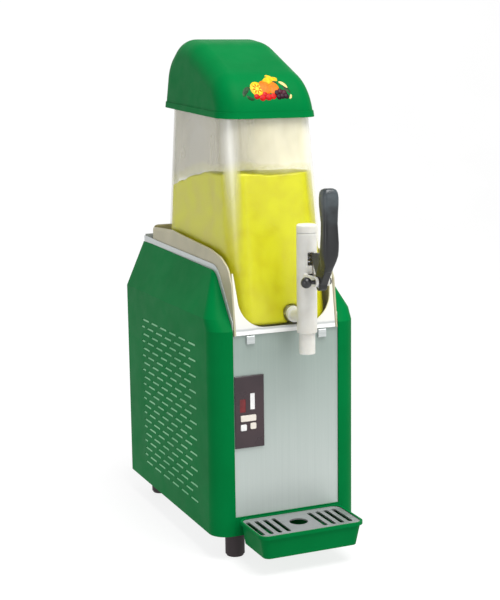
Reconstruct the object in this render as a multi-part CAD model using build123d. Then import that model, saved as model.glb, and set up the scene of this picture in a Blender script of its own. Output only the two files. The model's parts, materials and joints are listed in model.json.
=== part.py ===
from build123d import *
import math
import os

# Single-bowl slush machine, in millimetres.
# X runs to the machine's right, Y to its back and Z up from the floor. While modelling,
# Y = 0 is the front panel's face; each part is moved by ORIGIN_Y as it is written, so that
# the origin lies on the floor at the middle of the whole machine.

os.makedirs("parts", exist_ok=True)

ORIGIN_Y = 135.0

# Casing
CASE_HALF = 120.0
CASE_FRONT = -2.0
CASE_REAR = 397.0
CASE_BOTTOM = 39.0
CASE_WALL = 3.0
CORNER_R = 27.0
CORNER_TOP_R = 5.0
CREST_R = 30.0
SHOULDER_Z = 371.0
SHOULDER_TOP = (88.0, 443.0)
SLOPE_FOOT = (CASE_FRONT, 354.0)
SLOPE_HEAD = (64.0, 436.0)
DECK_RISE = 0.0315
STRIP_X = 87.0
SHEET = 1.2
SCREW_SPOTS = ((108.0, 62.0), (108.0, 220.0), (104.0, 352.0), (76.0, 440.0))
FIT_GAP = 0.3

# Front panel and controls
PANEL_BOTTOM = 67.7
PANEL_TOP = 346.5
BEZEL_X = (-85.5, -38.3)
BEZEL_Z = (174.9, 285.4)
BEZEL_T = 3.0
BUTTON_PROUD = 1.3

# Louvres in the side panels
LOUVRE_ROWS = 21
LOUVRE_PITCH = 12.4
LOUVRE_BOTTOM = 74.0
LOUVRE_COLUMNS = 6
LOUVRE_FRONT = 70.0
LOUVRE_STEP = 43.0
LOUVRE_LENGTH = 31.0
LOUVRE_HEIGHT = 3.0

# Deck, seat and bowl
TROUGH_REAR = 38.0
DECK_FRONT = (96.0, 437.0)
DECK_REAR = 394.0
SEAT_OUTER = 85.0
SEAT_WALL = 2.7
SEAT_REAR = 363.0
BOWL_LOW_Z = 345.0
BOWL_HIGH_Z = 668.0
BOWL_LOW = (81.8, 0.0, 328.0)
BOWL_HIGH = (75.7, 49.5, 287.5)
BOWL_CORNER = 34.0
BOWL_WALL = 3.0
BOWL_LIFT = 8.0
LID_SLOPE = 0.0584
LID_FRONT = (41.0, 662.5)
RIM_OVERLAP = 12.0
FLANGE_WIDTH = 10.0
SLUSH_FRONT_Z = 583.0
SLUSH_REAR_Z = 545.0

# Evaporator drum and auger
DRUM_Y = 190.0
DRUM_R = 45.0
DRUM_TOP = 541.0
DRUM_WALL = 2.0
DRUM_FLANGE_R = 73.0
DRUM_FLANGE_T = 5.0
FLOOR_HOLE_R = 66.0
AUGER_R = 62.0
AUGER_BORE = 47.0
AUGER_BOTTOM = 454.0
AUGER_TOP = 548.0
SHAFT_R = 7.0
RUNNING_GAP = 0.05

# Drive
GEAR_MODULE = 1.5
GEAR_TEETH = 54
PINION_TEETH = 18
GEAR_Z = (398.0, 410.0)
GEARBOX_Z = (372.0, 424.0)
MOTOR_R = 32.0
MOTOR_LENGTH = 82.0

# Tap
TAP_X = 14.0
TAP_Y = -44.0
TAP_R = 15.0
TAP_BORE = 11.0
TAP_TOP = 512.0
TAP_SHOULDER = 352.0
SPOUT_BOTTOM = 320.0
SPOUT_R = 12.0
SPOUT_BORE = 9.0
INLET_Z = 372.0
INLET_BORE = 6.5
INLET_PIPE_R = 9.5
INLET_THREAD_R = 8.5
INLET_HOLE_R = 8.8
INLET_FLANGE_R = 12.0
PIVOT_Y = -92.0
PIVOT_Z = 434.0
PIVOT_R = 3.0
EAR_R = 7.0
LEVER_TOP = 569.0
LEVER_FRONT = -128.0
PISTON_STOP = 366.0
PISTON_TOP = 452.0

# Lid
LID_HALF = 80.0
LID_FOOT = 640.0
LID_WALL = 2.5
LID_EDGE_R = 30.0
LID_BAND = 9.0

# Drip tray
TRAY_HALF = 85.0
TRAY_FRONT = -95.0
TRAY_BACK = -4.0
TRAY_BOTTOM = 29.0
TRAY_RIM = 66.0
TRAY_WALL = 2.5
GRATE_MIDDLE_X = -4.0
GRATE_HOLE_R = 14.0
GRATE_SLOTS = 4
GRATE_FIRST_SLOT = 30.0
GRATE_SLOT_PITCH = 14.0
TONGUE_Z = (CASE_BOTTOM + 4.0, CASE_BOTTOM + 6.4)

# Feet
FOOT_X = 78.0
FOOT_Y = (25.0, 368.0)
FOOT_R = 15.0

# Refrigeration
COMPRESSOR_Y = 195.0
COMPRESSOR_R = 56.0
CONDENSER_Y = (350.0, 384.0)
FAN_Y = 332.0
FAN_Z = 142.0
INLET_HOLE = (62.0, 92.0, 246.0, 274.0)
DECK_PIPES = ((-29.0, 165.0, 4.0), (-34.0, 198.0, 1.5))

WIDE = 200.0
nodes = {}


def add(name, *items):
    """Files the solids of one or more shapes under a node name."""
    nodes[name] = [solid for item in items for solid in item.solids()]


def box(x0, x1, y0, y1, z0, z1):
    size = (x1 - x0, y1 - y0, z1 - z0)
    return Pos((x0 + x1) / 2, (y0 + y1) / 2, (z0 + z1) / 2) * Box(*size)


def flat_face(points, radii=()):
    """A closed outline as a face; radii rounds its corners in order, 0 leaving one sharp."""
    face = make_face(Polyline(*points, close=True))
    for corner, radius in zip(points, radii):
        if radius:
            face = fillet(face.vertices().sort_by_distance(Vector(*corner))[0], radius)
    return face


def across(face, x0, x1):
    """Sweeps a YZ face, drawn with local x = Y and local y = Z, from x0 to x1."""
    return extrude(Plane.YZ.offset(x0) * face, amount=x1 - x0)


def along(face, y0, y1):
    """Sweeps an XZ face, drawn with local x = X and local y = Z, from y0 to y1."""
    return extrude(Plane.XZ.offset(-y0) * face, amount=-(y1 - y0))


def upright(x, y, z0, z1, radius, bore=0.0):
    """A vertical cylinder, or a tube when it has a bore."""
    disc = Circle(radius) - Circle(bore) if bore else Circle(radius)
    return extrude(Pos(x, y, z0) * disc, amount=z1 - z0)


def level(x, z, y0, y1, radius, bore=0.0):
    """A cylinder or tube along Y."""
    disc = Circle(radius) - Circle(bore) if bore else Circle(radius)
    return along(Pos(x, z) * disc, y0, y1)


def crosswise(y, z, x0, x1, radius, bore=0.0):
    """A cylinder or tube along X."""
    disc = Circle(radius) - Circle(bore) if bore else Circle(radius)
    return across(Pos(y, z) * disc, x0, x1)


def pipe(radius, points, bend):
    path = FilletPolyline(*points, radius=bend)
    start = Plane(origin=path @ 0, z_dir=path % 0)
    return sweep(start * Circle(radius), path=path)


def deck_height(y):
    return DECK_FRONT[1] + DECK_RISE * (y - DECK_FRONT[0])


# ---------------------------------------------------------------- shared envelopes

FRONT_LEAN = (SLOPE_HEAD[0] - SLOPE_FOOT[0]) / (SLOPE_HEAD[1] - SLOPE_FOOT[1])
SIDE_LEAN = (CASE_HALF - SHOULDER_TOP[0]) / (SHOULDER_TOP[1] - SHOULDER_Z)


def case_plan(z, inset, rear):
    """The casing's outline at height z. Above their folds the front and the sides lean inward."""
    upright_front = CASE_FRONT + inset
    leaning_front = CASE_FRONT + inset * math.hypot(1, FRONT_LEAN) + (z - SLOPE_FOOT[1]) * FRONT_LEAN
    upright_half = CASE_HALF - inset
    leaning_half = CASE_HALF - inset * math.hypot(1, SIDE_LEAN) - (z - SHOULDER_Z) * SIDE_LEAN
    front = max(upright_front, leaning_front)
    half = min(upright_half, leaning_half)
    share = min(1.0, max(0.0, (z - SLOPE_FOOT[1]) / (SLOPE_HEAD[1] - SLOPE_FOOT[1])))
    radius = max(2.0, CORNER_R + (CORNER_TOP_R - CORNER_R) * share - inset)
    path = FilletPolyline((-half, rear), (-half, front), (half, front), (half, rear), radius=radius)
    return Pos(0, 0, z) * make_face(path + Line((half, rear), (-half, rear)))


def case_block(inset):
    """The casing's outer block, or the room inside it when inset is above zero."""
    over = 20.0 if inset else 0.0
    rear = CASE_REAR + over
    bottom = CASE_BOTTOM - over
    front_fold = SLOPE_FOOT[1] - inset * (math.hypot(1, FRONT_LEAN) - 1) / FRONT_LEAN
    side_fold = SHOULDER_Z - inset * (math.hypot(1, SIDE_LEAN) - 1) / SIDE_LEAN
    levels = (bottom, front_fold, side_fold, SLOPE_HEAD[1] - inset, 480.0)
    plans = [case_plan(z, inset, rear) for z in levels]
    block = loft(plans[0:2], ruled=True)
    for low, high in zip(plans[1:], plans[2:]):
        block += loft([low, high], ruled=True)

    # The top, with its rounded crest. The front line lies just outside the leaning front.
    outside = 0.4
    line_y = CASE_FRONT - outside + inset * math.hypot(1, FRONT_LEAN)
    top_z = SLOPE_HEAD[1] - DECK_RISE * SLOPE_HEAD[0] - inset
    crest_y = (line_y + (top_z - SLOPE_FOOT[1]) * FRONT_LEAN) / (1 - DECK_RISE * FRONT_LEAN)
    foot_y = CASE_FRONT - 30.0
    foot_z = SLOPE_FOOT[1] + (foot_y - line_y) / FRONT_LEAN
    cover = flat_face([(foot_y, bottom - 5), (foot_y, foot_z), (crest_y, top_z + DECK_RISE * crest_y),
                       (rear + 5, top_z + DECK_RISE * (rear + 5)), (rear + 5, bottom - 5)],
                      [0, 0, CREST_R - inset])
    return block & across(cover, -WIDE, WIDE)


def deck_block(grow):
    """Everything under the deck sheet's upper face, grown outward by grow."""
    rear_z = deck_height(DECK_REAR)
    face = flat_face([(1.4, 200.0), (1.4, PANEL_TOP), (TROUGH_REAR, PANEL_TOP), DECK_FRONT,
                      (DECK_REAR, rear_z), (DECK_REAR, 200.0)], [0, 0, 14, 22])
    if grow:
        face = offset(face, grow, kind=Kind.ARC if grow > 0 else Kind.INTERSECTION)
    return across(face, -WIDE, WIDE)


def bowl_front(z):
    """Y of the bowl's leaning front face at height z."""
    return BOWL_HIGH[1] * (z - BOWL_LOW_Z) / (BOWL_HIGH_Z - BOWL_LOW_Z)


def lid_plane(y, above=0.0):
    return LID_FRONT[1] + above + LID_SLOPE * (y - LID_FRONT[0])


def below_lid(above):
    """Everything under the sloping plane of the lid's lower edge, raised by above."""
    return across(flat_face([(-50, 200), (-50, lid_plane(-50, above)), (500, lid_plane(500, above)),
                             (500, 200)]), -WIDE, WIDE)


def bowl_block(inset):
    """The bowl's tapered block, with the rounded trough at its front foot."""
    sections = []
    for z in (BOWL_LOW_Z, BOWL_HIGH_Z + 32.0):
        part = (z - BOWL_LOW_Z) / (BOWL_HIGH_Z - BOWL_LOW_Z)
        half, front, rear = [a + (b - a) * part for a, b in zip(BOWL_LOW, BOWL_HIGH)]
        sheet = RectangleRounded(2 * (half - inset), rear - front - 2 * inset, BOWL_CORNER - inset)
        sections.append(Pos(0, (front + rear) / 2, z) * sheet)
    block = loft(sections, ruled=True)
    bottom = PANEL_TOP + BOWL_LIFT + inset
    half = BOWL_LOW[0] - inset + 0.2
    trough = FilletPolyline((-half, 720), (-half, bottom), (half, bottom), (half, 720),
                            radius=BOWL_CORNER - inset)
    trough_face = make_face(trough + Line((half, 720), (-half, 720)))
    return (block & along(trough_face, -50, 400)) - deck_block(BOWL_LIFT + inset)


# ---------------------------------------------------------------- casing

def louvre_slots(side):
    """Rows of short slots through one side wall, every other row moved by half a step."""
    slots = []
    for row in range(LOUVRE_ROWS):
        z = LOUVRE_BOTTOM + row * LOUVRE_PITCH
        start = LOUVRE_FRONT + (LOUVRE_STEP / 2 if row % 2 else 0.0)
        for column in range(LOUVRE_COLUMNS):
            y = start + column * LOUVRE_STEP
            length = LOUVRE_LENGTH / 2 if row % 2 and column == LOUVRE_COLUMNS - 1 else LOUVRE_LENGTH
            x0, x1 = sorted((side * (CASE_HALF - 6), side * (CASE_HALF + 6)))
            slots.append(box(x0, x1, y, y + length, z, z + LOUVRE_HEIGHT))
    return slots


def side_panels():
    shell = case_block(0) - case_block(CASE_WALL)
    for side, name in ((-1, "side_panel_left"), (1, "side_panel_right")):
        x0, x1 = sorted((side * STRIP_X, side * (CASE_HALF + 5)))
        panel = shell & box(x0, x1, CASE_FRONT - 5, CASE_REAR + 5, 0, 600)
        add(name, panel - louvre_slots(side))


def front_sheets():
    half = STRIP_X - FIT_GAP
    panel = box(-half, half, 0, SHEET, PANEL_BOTTOM, PANEL_TOP)
    for x in (-half, half - SHEET):
        panel += box(x, x + SHEET, 0, 12, PANEL_BOTTOM, PANEL_TOP - 13.5)
    panel -= box(BEZEL_X[0] + 5, BEZEL_X[1] - 5, -2, 3, BEZEL_Z[0] + 5, BEZEL_Z[1] - 5)
    for side in (-1, 1):
        panel -= box(side * 59 - 5, side * 59 + 5, -2, 3, 337, 342)
    add("front_panel", panel)
    trim = box(-half, half, CASE_FRONT, 1, CASE_BOTTOM, PANEL_BOTTOM - FIT_GAP)
    trim += box(-half, half, 1, 14, CASE_BOTTOM, CASE_BOTTOM + 2)
    for side in (-1, 1):
        trim -= box(side * 50 - 7.3, side * 50 + 7.3, -5, 20, TONGUE_Z[0] - 0.3, TONGUE_Z[1] + 0.3)
    add("front_base_trim", trim)


def deck_sheets():
    reach = STRIP_X - 1.7
    deck = deck_block(0) - deck_block(-SHEET)
    deck &= box(-reach, reach, 0, 396, 330, 480)
    deck -= upright(0, DRUM_Y, 400, 470, 12)
    for angle in range(45, 360, 90):
        x = 60 * math.cos(math.radians(angle))
        y = DRUM_Y + 60 * math.sin(math.radians(angle))
        deck -= upright(x, y, 400, 470, 2.6)
    strip_low = PANEL_TOP + 1.0
    strip_rear = CASE_REAR - 2.5
    rear_rise = DECK_RISE * (CASE_REAR - SLOPE_HEAD[0])
    edge = [(SLOPE_FOOT[0], strip_low), (SLOPE_FOOT[0], SLOPE_FOOT[1] + 9),
            (SLOPE_HEAD[0] - 5, SLOPE_HEAD[1] + 9), (strip_rear, SLOPE_HEAD[1] + 9 + rear_rise),
            (strip_rear, SLOPE_HEAD[1] - 12 + rear_rise), (SLOPE_HEAD[0] + 9, SLOPE_HEAD[1] - 12),
            (SLOPE_FOOT[0] + 14, strip_low)]
    face = flat_face(edge, [0, 0, 36, 0, 0, 18])
    for x in (-reach - 1.4, reach):
        deck += across(face, x, x + 1.4) & box(-WIDE, WIDE, 1.4, 500, 0, 600)
    deck -= [upright(x, y, 400, 470, radius + 0.5) for x, y, radius in DECK_PIPES]
    deck -= [level(side * x, z, 380, 410, 1.6) for side in (-1, 1) for x, z in SCREW_SPOTS]
    add("top_deck", deck)


def rear_sheet():
    inner = case_block(CASE_WALL + FIT_GAP)
    y0, y1 = CASE_REAR - 2.2, CASE_REAR - 1.0
    panel = inner & box(-WIDE, WIDE, y0, y1, CASE_BOTTOM + 4, 500)
    panel += box(-STRIP_X + 2.5, STRIP_X - 2.5, y0, y1, 430, 458)
    for row in range(14):
        z = 70 + row * 11
        for x in (-70, 0):
            panel -= box(x + 4, x + 58, y0 - 2, y1 + 2, z, z + 4)
    x0, x1, z0, z1 = INLET_HOLE
    panel -= box(x0 - 0.3, x1 + 0.3, y0 - 2, y1 + 2, z0 - 0.3, z1 + 0.3)
    spots = [(side * x, z) for side in (-1, 1) for x, z in SCREW_SPOTS]
    screws = [level(x, z, y1, y1 + 1.4, 3.2) + level(x, z, y1 - 8, y1, 1.6) for x, z in spots]
    add("panel_screws", *screws)
    add("rear_panel", panel - [level(x, z, y0 - 2, y1 + 2, 1.6) for x, z in spots])


def base_and_feet():
    x, y0, y1 = CASE_HALF - 6, 6.0, CASE_REAR - 6
    pan = box(-x, x, y0, y1, CASE_BOTTOM + 2.5, CASE_BOTTOM + 16)
    pan = fillet([e for e in pan.edges().filter_by(Axis.Z) if e.center().Y < 50], 22)
    tub = box(-x + 1.5, x - 1.5, y0 + 1.5, y1 - 1.5, CASE_BOTTOM + 4, CASE_BOTTOM + 30)
    pan -= fillet([e for e in tub.edges().filter_by(Axis.Z) if e.center().Y < 50], 20.5)
    pan -= [box(x - 7.3, x + 7.3, 0, 12, TONGUE_Z[0] - 0.1, TONGUE_Z[1] + 0.3) for x in (-50, 50)]
    feet = []
    for side in (-1, 1):
        for y in FOOT_Y:
            place = Pos(side * FOOT_X, y, 0)
            pad = extrude(place * Circle(FOOT_R - 2), amount=3)
            pad += extrude(place * Pos(0, 0, 3) * Circle(FOOT_R), amount=CASE_BOTTOM - 0.5 - 3)
            pad += extrude(place * Pos(0, 0, CASE_BOTTOM - 0.5) * Circle(10), amount=3)
            pad = chamfer(pad.edges().sort_by(Axis.Z)[-1], 0.6)
            stud = extrude(place * Pos(0, 0, 30) * Circle(4), amount=24)
            feet.append(pad + stud)
            pan -= upright(side * FOOT_X, y, 30, 60, 4.3)
    add("base_pan", pan)
    add("feet", *feet)


def frame():
    posts = []
    for side in (-1, 1):
        for y, top in ((26, 318), (372, 360)):
            x0, x1 = sorted((side * 96, side * 112))
            post = box(x0, x1, y, y + 16, CASE_BOTTOM + 4, top)
            hx0, hx1 = sorted((side * 95, side * 110.4))
            hy0 = y + 1.6 if y < 100 else y - 1
            post -= box(hx0, hx1, hy0, hy0 + 15.4, 0, 400)
            posts.append(post)
    rails = []
    for side in (-1, 1):
        x0, x1 = sorted((side * 70, side * 84))
        rails.append(box(x0, x1, 130, 385, 420, 434) - box(x0 + 1.5, x1 - 1.5, 100, 400, 421.5, 432.5))
    add("chassis_frame", *posts, *rails)


def tray_brackets():
    tongues = [box(x - 7, x + 7, -72, 22, *TONGUE_Z) for x in (-50, 50)]
    add("tray_brackets", *tongues)


# ---------------------------------------------------------------- bowl and seat

def seat():
    top = [(SEAT_REAR, 478.0), (299.5, 481.0), (88.2, 466.5), (48.0, 459.0), (21.0, 446.0), (6.8, 422.5)]
    foot = [(-3.5, PANEL_TOP + 0.5), (TROUGH_REAR, PANEL_TOP + 0.5), DECK_FRONT,
            (SEAT_REAR, deck_height(SEAT_REAR))]
    face = flat_face(top + foot, [6, 0, 60, 30, 30, 8])
    band = across(face, -SEAT_OUTER, SEAT_OUTER)
    upright_edges = [e for e in band.edges().filter_by(Axis.Z) if e.center().Y > SEAT_REAR - 4]
    band = fillet(upright_edges, 12)
    inner = SEAT_OUTER - SEAT_WALL
    room = box(-inner, inner, -50, SEAT_REAR - SEAT_WALL, 300, 600)
    corners = [e for e in room.edges().filter_by(Axis.Z) if e.center().Y > SEAT_REAR - 10]
    room = fillet(corners, 9.5)
    add("bowl_seat", band - room - deck_block(0.2))


def front_flange():
    """White frame moulded round the trough at the bowl's front foot."""
    low, high = PANEL_TOP + 0.8, 438.0
    face = flat_face([(bowl_front(low) - 3, low), (bowl_front(high) - 3, high),
                      (bowl_front(high), high), (bowl_front(low), low)])
    half = BOWL_LOW[0]
    plate = across(face, -half, half)
    side, foot, lean = half - FLANGE_WIDTH, low + 9.0, 0.1
    top_side = side + lean * (500 - foot)
    window = FilletPolyline((-top_side, 500), (-side, foot), (side, foot), (top_side, 500), radius=44)
    plate -= along(make_face(window + Line((top_side, 500), (-top_side, 500))), -50, 60)
    return plate


def bowl_parts():
    outer = bowl_block(0)
    rim = below_lid(RIM_OVERLAP)
    shell = (outer - bowl_block(BOWL_WALL)) & rim
    shell -= upright(0, DRUM_Y, 430, 470, FLOOR_HOLE_R)
    shell -= level(TAP_X, INLET_Z, -20, 40, INLET_HOLE_R)
    add("bowl", shell)
    foot_bar = front_flange()
    add("bowl_front_flange", foot_bar)
    ring = upright(0, DRUM_Y, drum_flange_top() + 0.2, 470, DRUM_FLANGE_R, FLOOR_HOLE_R + 0.5)
    add("bowl_gasket", ring & deck_block(BOWL_LIFT))
    grips = []
    for side in (-1, 1):
        x = side * 59
        hook = box(x - 6.5, x + 6.5, -4.0, -0.2, 333, PANEL_TOP - 0.8)
        hook += box(x - 4.5, x + 4.5, -0.2, 1.3, 337.5, 341.5)
        grips.append(chamfer(hook.edges().filter_by(Axis.X).sort_by(Axis.Y)[0:2], 1.0))
    add("bowl_catches", *grips)


def slush():
    room = bowl_block(BOWL_WALL + 0.3)
    top = flat_face([(-20, 300), (-20, SLUSH_FRONT_Z), (130, SLUSH_FRONT_Z - 2), (205, SLUSH_FRONT_Z - 12),
                     (330, SLUSH_REAR_Z - 8), (330, 300)])
    body = room & across(top, -WIDE, WIDE)
    body -= upright(0, DRUM_Y, 400, AUGER_TOP + 10, AUGER_R + 1.5)
    body -= level(TAP_X, INLET_Z, -20, 24, 14)
    add("slush_mix", body)


# ---------------------------------------------------------------- evaporator and drive

def drum_flange_top():
    return deck_height(DRUM_Y) + DRUM_FLANGE_T


def drum():
    top = drum_flange_top()
    body = upright(0, DRUM_Y, 430, DRUM_TOP, DRUM_R) + upright(0, DRUM_Y, 430, top, DRUM_FLANGE_R)
    body -= upright(0, DRUM_Y, 420, DRUM_TOP - DRUM_WALL, DRUM_R - DRUM_WALL)
    body += upright(0, DRUM_Y, DRUM_TOP - 12, DRUM_TOP, 14)
    body -= upright(0, DRUM_Y, 420, DRUM_TOP + 5, 10)
    body -= deck_block(0)
    add("evaporator_drum", body)
    coil = Pos(0, DRUM_Y, 460) * spring_coil(38.5, 4.0, 10.5, 66)
    add("evaporator_coil", coil)


def auger():
    radius = (AUGER_R + AUGER_BORE) / 2
    width = AUGER_R - AUGER_BORE - 1.2
    rise = AUGER_TOP - AUGER_BOTTOM - 10
    helix = Helix(pitch=rise / 2, height=rise, radius=radius)
    section = Plane(origin=helix @ 0, x_dir=(1, 0, 0), z_dir=helix % 0) * Rectangle(width, 4)
    blade = Pos(0, DRUM_Y, AUGER_BOTTOM + 3) * sweep(section, path=helix, is_frenet=True)
    body = blade + upright(0, DRUM_Y, AUGER_BOTTOM, AUGER_BOTTOM + 5, AUGER_R, AUGER_BORE)
    body += upright(0, DRUM_Y, AUGER_TOP - 9, AUGER_TOP, AUGER_R, AUGER_BORE)
    hub_bottom = DRUM_TOP + 2.2
    for angle in (0, 60, 120):
        arm = Box(2 * (AUGER_BORE + 4), 9, AUGER_TOP - hub_bottom)
        body += Pos(0, DRUM_Y, (AUGER_TOP + hub_bottom) / 2) * Rot(0, 0, angle) * arm
    body += upright(0, DRUM_Y, hub_bottom, AUGER_TOP, 13)
    body -= upright(0, DRUM_Y, 500, 600, SHAFT_R)
    add("auger", body)
    cap = upright(0, DRUM_Y, AUGER_TOP, AUGER_TOP + 7, 11)
    add("auger_cap", chamfer(cap.edges().sort_by(Axis.Z)[-1], 2))


def involute_gear(teeth, thickness, phase):
    """A spur gear face with true involute flanks; phase turns its first tooth, in radians."""
    pitch_r = GEAR_MODULE * teeth / 2
    base_r = pitch_r * math.cos(math.radians(20))
    tip_r = pitch_r + 0.95 * GEAR_MODULE
    root_r = pitch_r - 1.25 * GEAR_MODULE

    def involute(radius):
        roll = math.acos(min(1.0, base_r / radius))
        return math.tan(roll) - roll

    half_tooth = math.pi / (2 * teeth) - 0.09 / pitch_r
    start_r = max(base_r, root_r)
    steps = [start_r + (tip_r - start_r) * i / 4 for i in range(5)]
    flank = [(r, half_tooth + involute(pitch_r) - involute(r)) for r in steps]
    if start_r > root_r:
        flank.insert(0, (root_r, flank[0][1]))
    outline = [(r, -a) for r, a in flank] + [(r, a) for r, a in reversed(flank)]
    points = []
    for tooth in range(teeth):
        middle = phase + 2 * math.pi * tooth / teeth
        points += [(r * math.cos(middle + a), r * math.sin(middle + a)) for r, a in outline]
    return extrude(make_face(Polyline(*points, close=True)), amount=thickness)


def drive():
    z0, z1 = GEAR_Z
    spacing = GEAR_MODULE * (GEAR_TEETH + PINION_TEETH) / 2
    motor_y = DRUM_Y + spacing
    gear = Pos(0, DRUM_Y, z0) * involute_gear(GEAR_TEETH, z1 - z0, math.pi / 2)
    gear += upright(0, DRUM_Y, z0 - 5, z1 + 4, 13)
    add("output_gear", gear - upright(0, DRUM_Y, 300, 500, SHAFT_R))
    half_pitch = math.pi / PINION_TEETH
    pinion = Pos(0, motor_y, z0 - 1) * involute_gear(PINION_TEETH, z1 - z0 + 2, -math.pi / 2 + half_pitch)
    add("motor_pinion", pinion + upright(0, motor_y, GEARBOX_Z[0] - 20, z1 + 6, 4))
    add("drive_shaft", upright(0, DRUM_Y, GEARBOX_Z[0] + 5, AUGER_TOP, SHAFT_R))

    bottom, top = GEARBOX_Z
    case = box(-50, 50, DRUM_Y - 50, motor_y + 26, bottom, top)
    case = fillet(case.edges().filter_by(Axis.Z), 14)
    room = box(-46, 46, DRUM_Y - 46, motor_y + 22, bottom + 12, top + 5)
    case -= fillet(room.edges().filter_by(Axis.Z), 11)
    case -= upright(0, DRUM_Y, bottom + 4, top, 11)
    case -= upright(0, motor_y, bottom - 5, top, 6)
    add("gearbox_case", case)
    cover = box(-50, 50, DRUM_Y - 50, motor_y + 26, top, top + 4)
    cover = fillet(cover.edges().filter_by(Axis.Z), 14)
    add("gearbox_cover", cover - upright(0, DRUM_Y, top - 5, top + 9, 11))
    bore = SHAFT_R + RUNNING_GAP
    add("shaft_bearings", upright(0, DRUM_Y, bottom + 4, bottom + 12, 11, bore),
        upright(0, DRUM_Y, top - 4, top + 4, 11, bore),
        upright(0, DRUM_Y, DRUM_TOP - 10, DRUM_TOP, 10, bore))
    add("shaft_seal", upright(0, DRUM_Y, DRUM_TOP, DRUM_TOP + 1.6, 12, bore))
    can = upright(0, motor_y, bottom - MOTOR_LENGTH, bottom, MOTOR_R)
    can = fillet(can.edges().sort_by(Axis.Z)[0], 5)
    add("motor_can", can - upright(0, motor_y, bottom - 22, bottom + 2, 6))


# ---------------------------------------------------------------- refrigeration

def refrigeration():
    floor = CASE_BOTTOM + 4
    spots = [(sx * 48, COMPRESSOR_Y + sy * 48) for sx in (-1, 1) for sy in (-1, 1)]
    pot = upright(0, COMPRESSOR_Y, floor + 20, floor + 150, COMPRESSOR_R)
    pot = fillet(pot.edges().filter_by(GeomType.CIRCLE), 22)
    feet_plate = fillet(box(-58, 58, COMPRESSOR_Y - 58, COMPRESSOR_Y + 58, floor + 16, floor + 20)
                        .edges().filter_by(Axis.Z), 10)
    for x, y in spots:
        feet_plate -= upright(x, y, 0, 100, 5)
    add("compressor", pot + feet_plate)
    grommets = [upright(x, y, floor, floor + 16, 9, 3.5) + upright(x, y, floor + 16, floor + 22, 5, 3.5)
                for x, y in spots]
    add("compressor_grommets", *grommets)
    cover = box(COMPRESSOR_R - 12, COMPRESSOR_R + 16, COMPRESSOR_Y - 24, COMPRESSOR_Y + 24, floor + 70, floor + 120)
    cover = fillet(cover.edges().filter_by(Axis.X), 5)
    add("compressor_cover", cover - upright(0, COMPRESSOR_Y, 0, 300, COMPRESSOR_R + FIT_GAP))

    y0, y1 = CONDENSER_Y
    low, high = floor + 12, floor + 184
    fins = [box(x, x + 0.8, y0, y1, low, high) for x in range(-84, 85, 6)]
    tubes = []
    for row in range(6):
        z = low + 14 + row * 29
        hairpin = [(-92, y0 + 9, z), (92, y0 + 9, z), (92, y1 - 9, z), (-92, y1 - 9, z)]
        tubes.append(pipe(3.0, hairpin, 7.0))
    holes = [crosswise(y, low + 14 + row * 29, -95, 95, 3.0)
             for row in range(6) for y in (y0 + 9, y1 - 9)]
    add("condenser", *[fin - holes for fin in fins], *tubes)

    shroud = box(-86, 86, FAN_Y - 8, y0 - 1, low, high) - box(-84, 84, FAN_Y - 6, y0 + 5, low + 2, high - 2)
    shroud -= level(0, FAN_Z, FAN_Y - 20, FAN_Y, 74)
    add("fan_shroud", shroud)
    hub = level(0, FAN_Z, FAN_Y - 6, FAN_Y + 8, 16) - level(0, FAN_Z, FAN_Y - 20, FAN_Y + 20, 3)
    blades = hub
    for blade in range(5):
        paddle = Pos(0, 0, 42) * Rot(0, 0, 28) * Box(34, 1.8, 58)
        blades += Pos(0, FAN_Y, FAN_Z) * Rot(0, blade * 72, 0) * paddle
    blades &= level(0, FAN_Z, FAN_Y - 20, FAN_Y + 15, 70)
    blades -= level(0, FAN_Z, FAN_Y - 20, FAN_Y + 20, 3)
    add("fan_blades", blades)
    motor = level(0, FAN_Z, FAN_Y - 48, FAN_Y - 14, 24) + level(0, FAN_Z, FAN_Y - 14, FAN_Y + 6, 2.95)
    add("fan_motor", motor)
    legs = [box(x - 5, x + 5, FAN_Y - 36, FAN_Y - 26, floor, FAN_Z + 20) for x in (-29.2, 29.2)]
    add("fan_motor_bracket", *legs)

    top = floor + 150
    runs = [
        [(20, COMPRESSOR_Y + 20, top), (20, COMPRESSOR_Y + 20, top + 26), (60, 290, top + 26),
         (97, 322, top + 4), (97, y0 + 8, high - 20)],
        [(-20, COMPRESSOR_Y - 20, top), (-20, COMPRESSOR_Y - 20, top + 40), (-62, 135, top + 60),
         (-62, 138, 400), (-62, 150, 433), (-29, 165, 433), (-29, 165, 452)],
        [(-97, y1 - 9, low + 14), (-104, 340, low + 30), (-104, 292, low + 60), (-104, 292, low + 84)],
        [(-104, 292, low + 176), (-104, 292, low + 230), (-78, 230, 372), (-62, 208, 433), (-34, 198, 433), (-34, 198, 452)],
    ]
    bends = (12, 6, 12, 5)
    radii = (3.0, 4.0, 3.0, 1.5)
    pipes = [pipe(radius, run, bend) for radius, run, bend in zip(radii, runs, bends)]
    add("refrigerant_pipes", *pipes)
    drier = upright(-104, 292, low + 84, low + 176, 9)
    add("filter_drier", chamfer(drier.edges().filter_by(GeomType.CIRCLE), 3))


def power_inlet():
    y = CASE_REAR - 1.0
    x0, x1, z0, z1 = INLET_HOLE
    inlet = box(x0, x1, y - 22, y, z0, z1) + box(x0 - 4, x1 + 4, y, y + 2, z0 - 4, z1 + 4)
    inlet -= box(x0 + 4, x1 - 4, y - 17, y + 5, z0 + 5, z1 - 5)
    middle = (x0 + x1) / 2
    for x, z in ((middle, z0 + 17), (middle - 6, z0 + 10), (middle + 6, z0 + 10)):
        inlet += box(x - 1, x + 1, y - 18, y - 3, z - 2, z + 2)
    add("power_inlet", inlet)


# ---------------------------------------------------------------- controls

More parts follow.
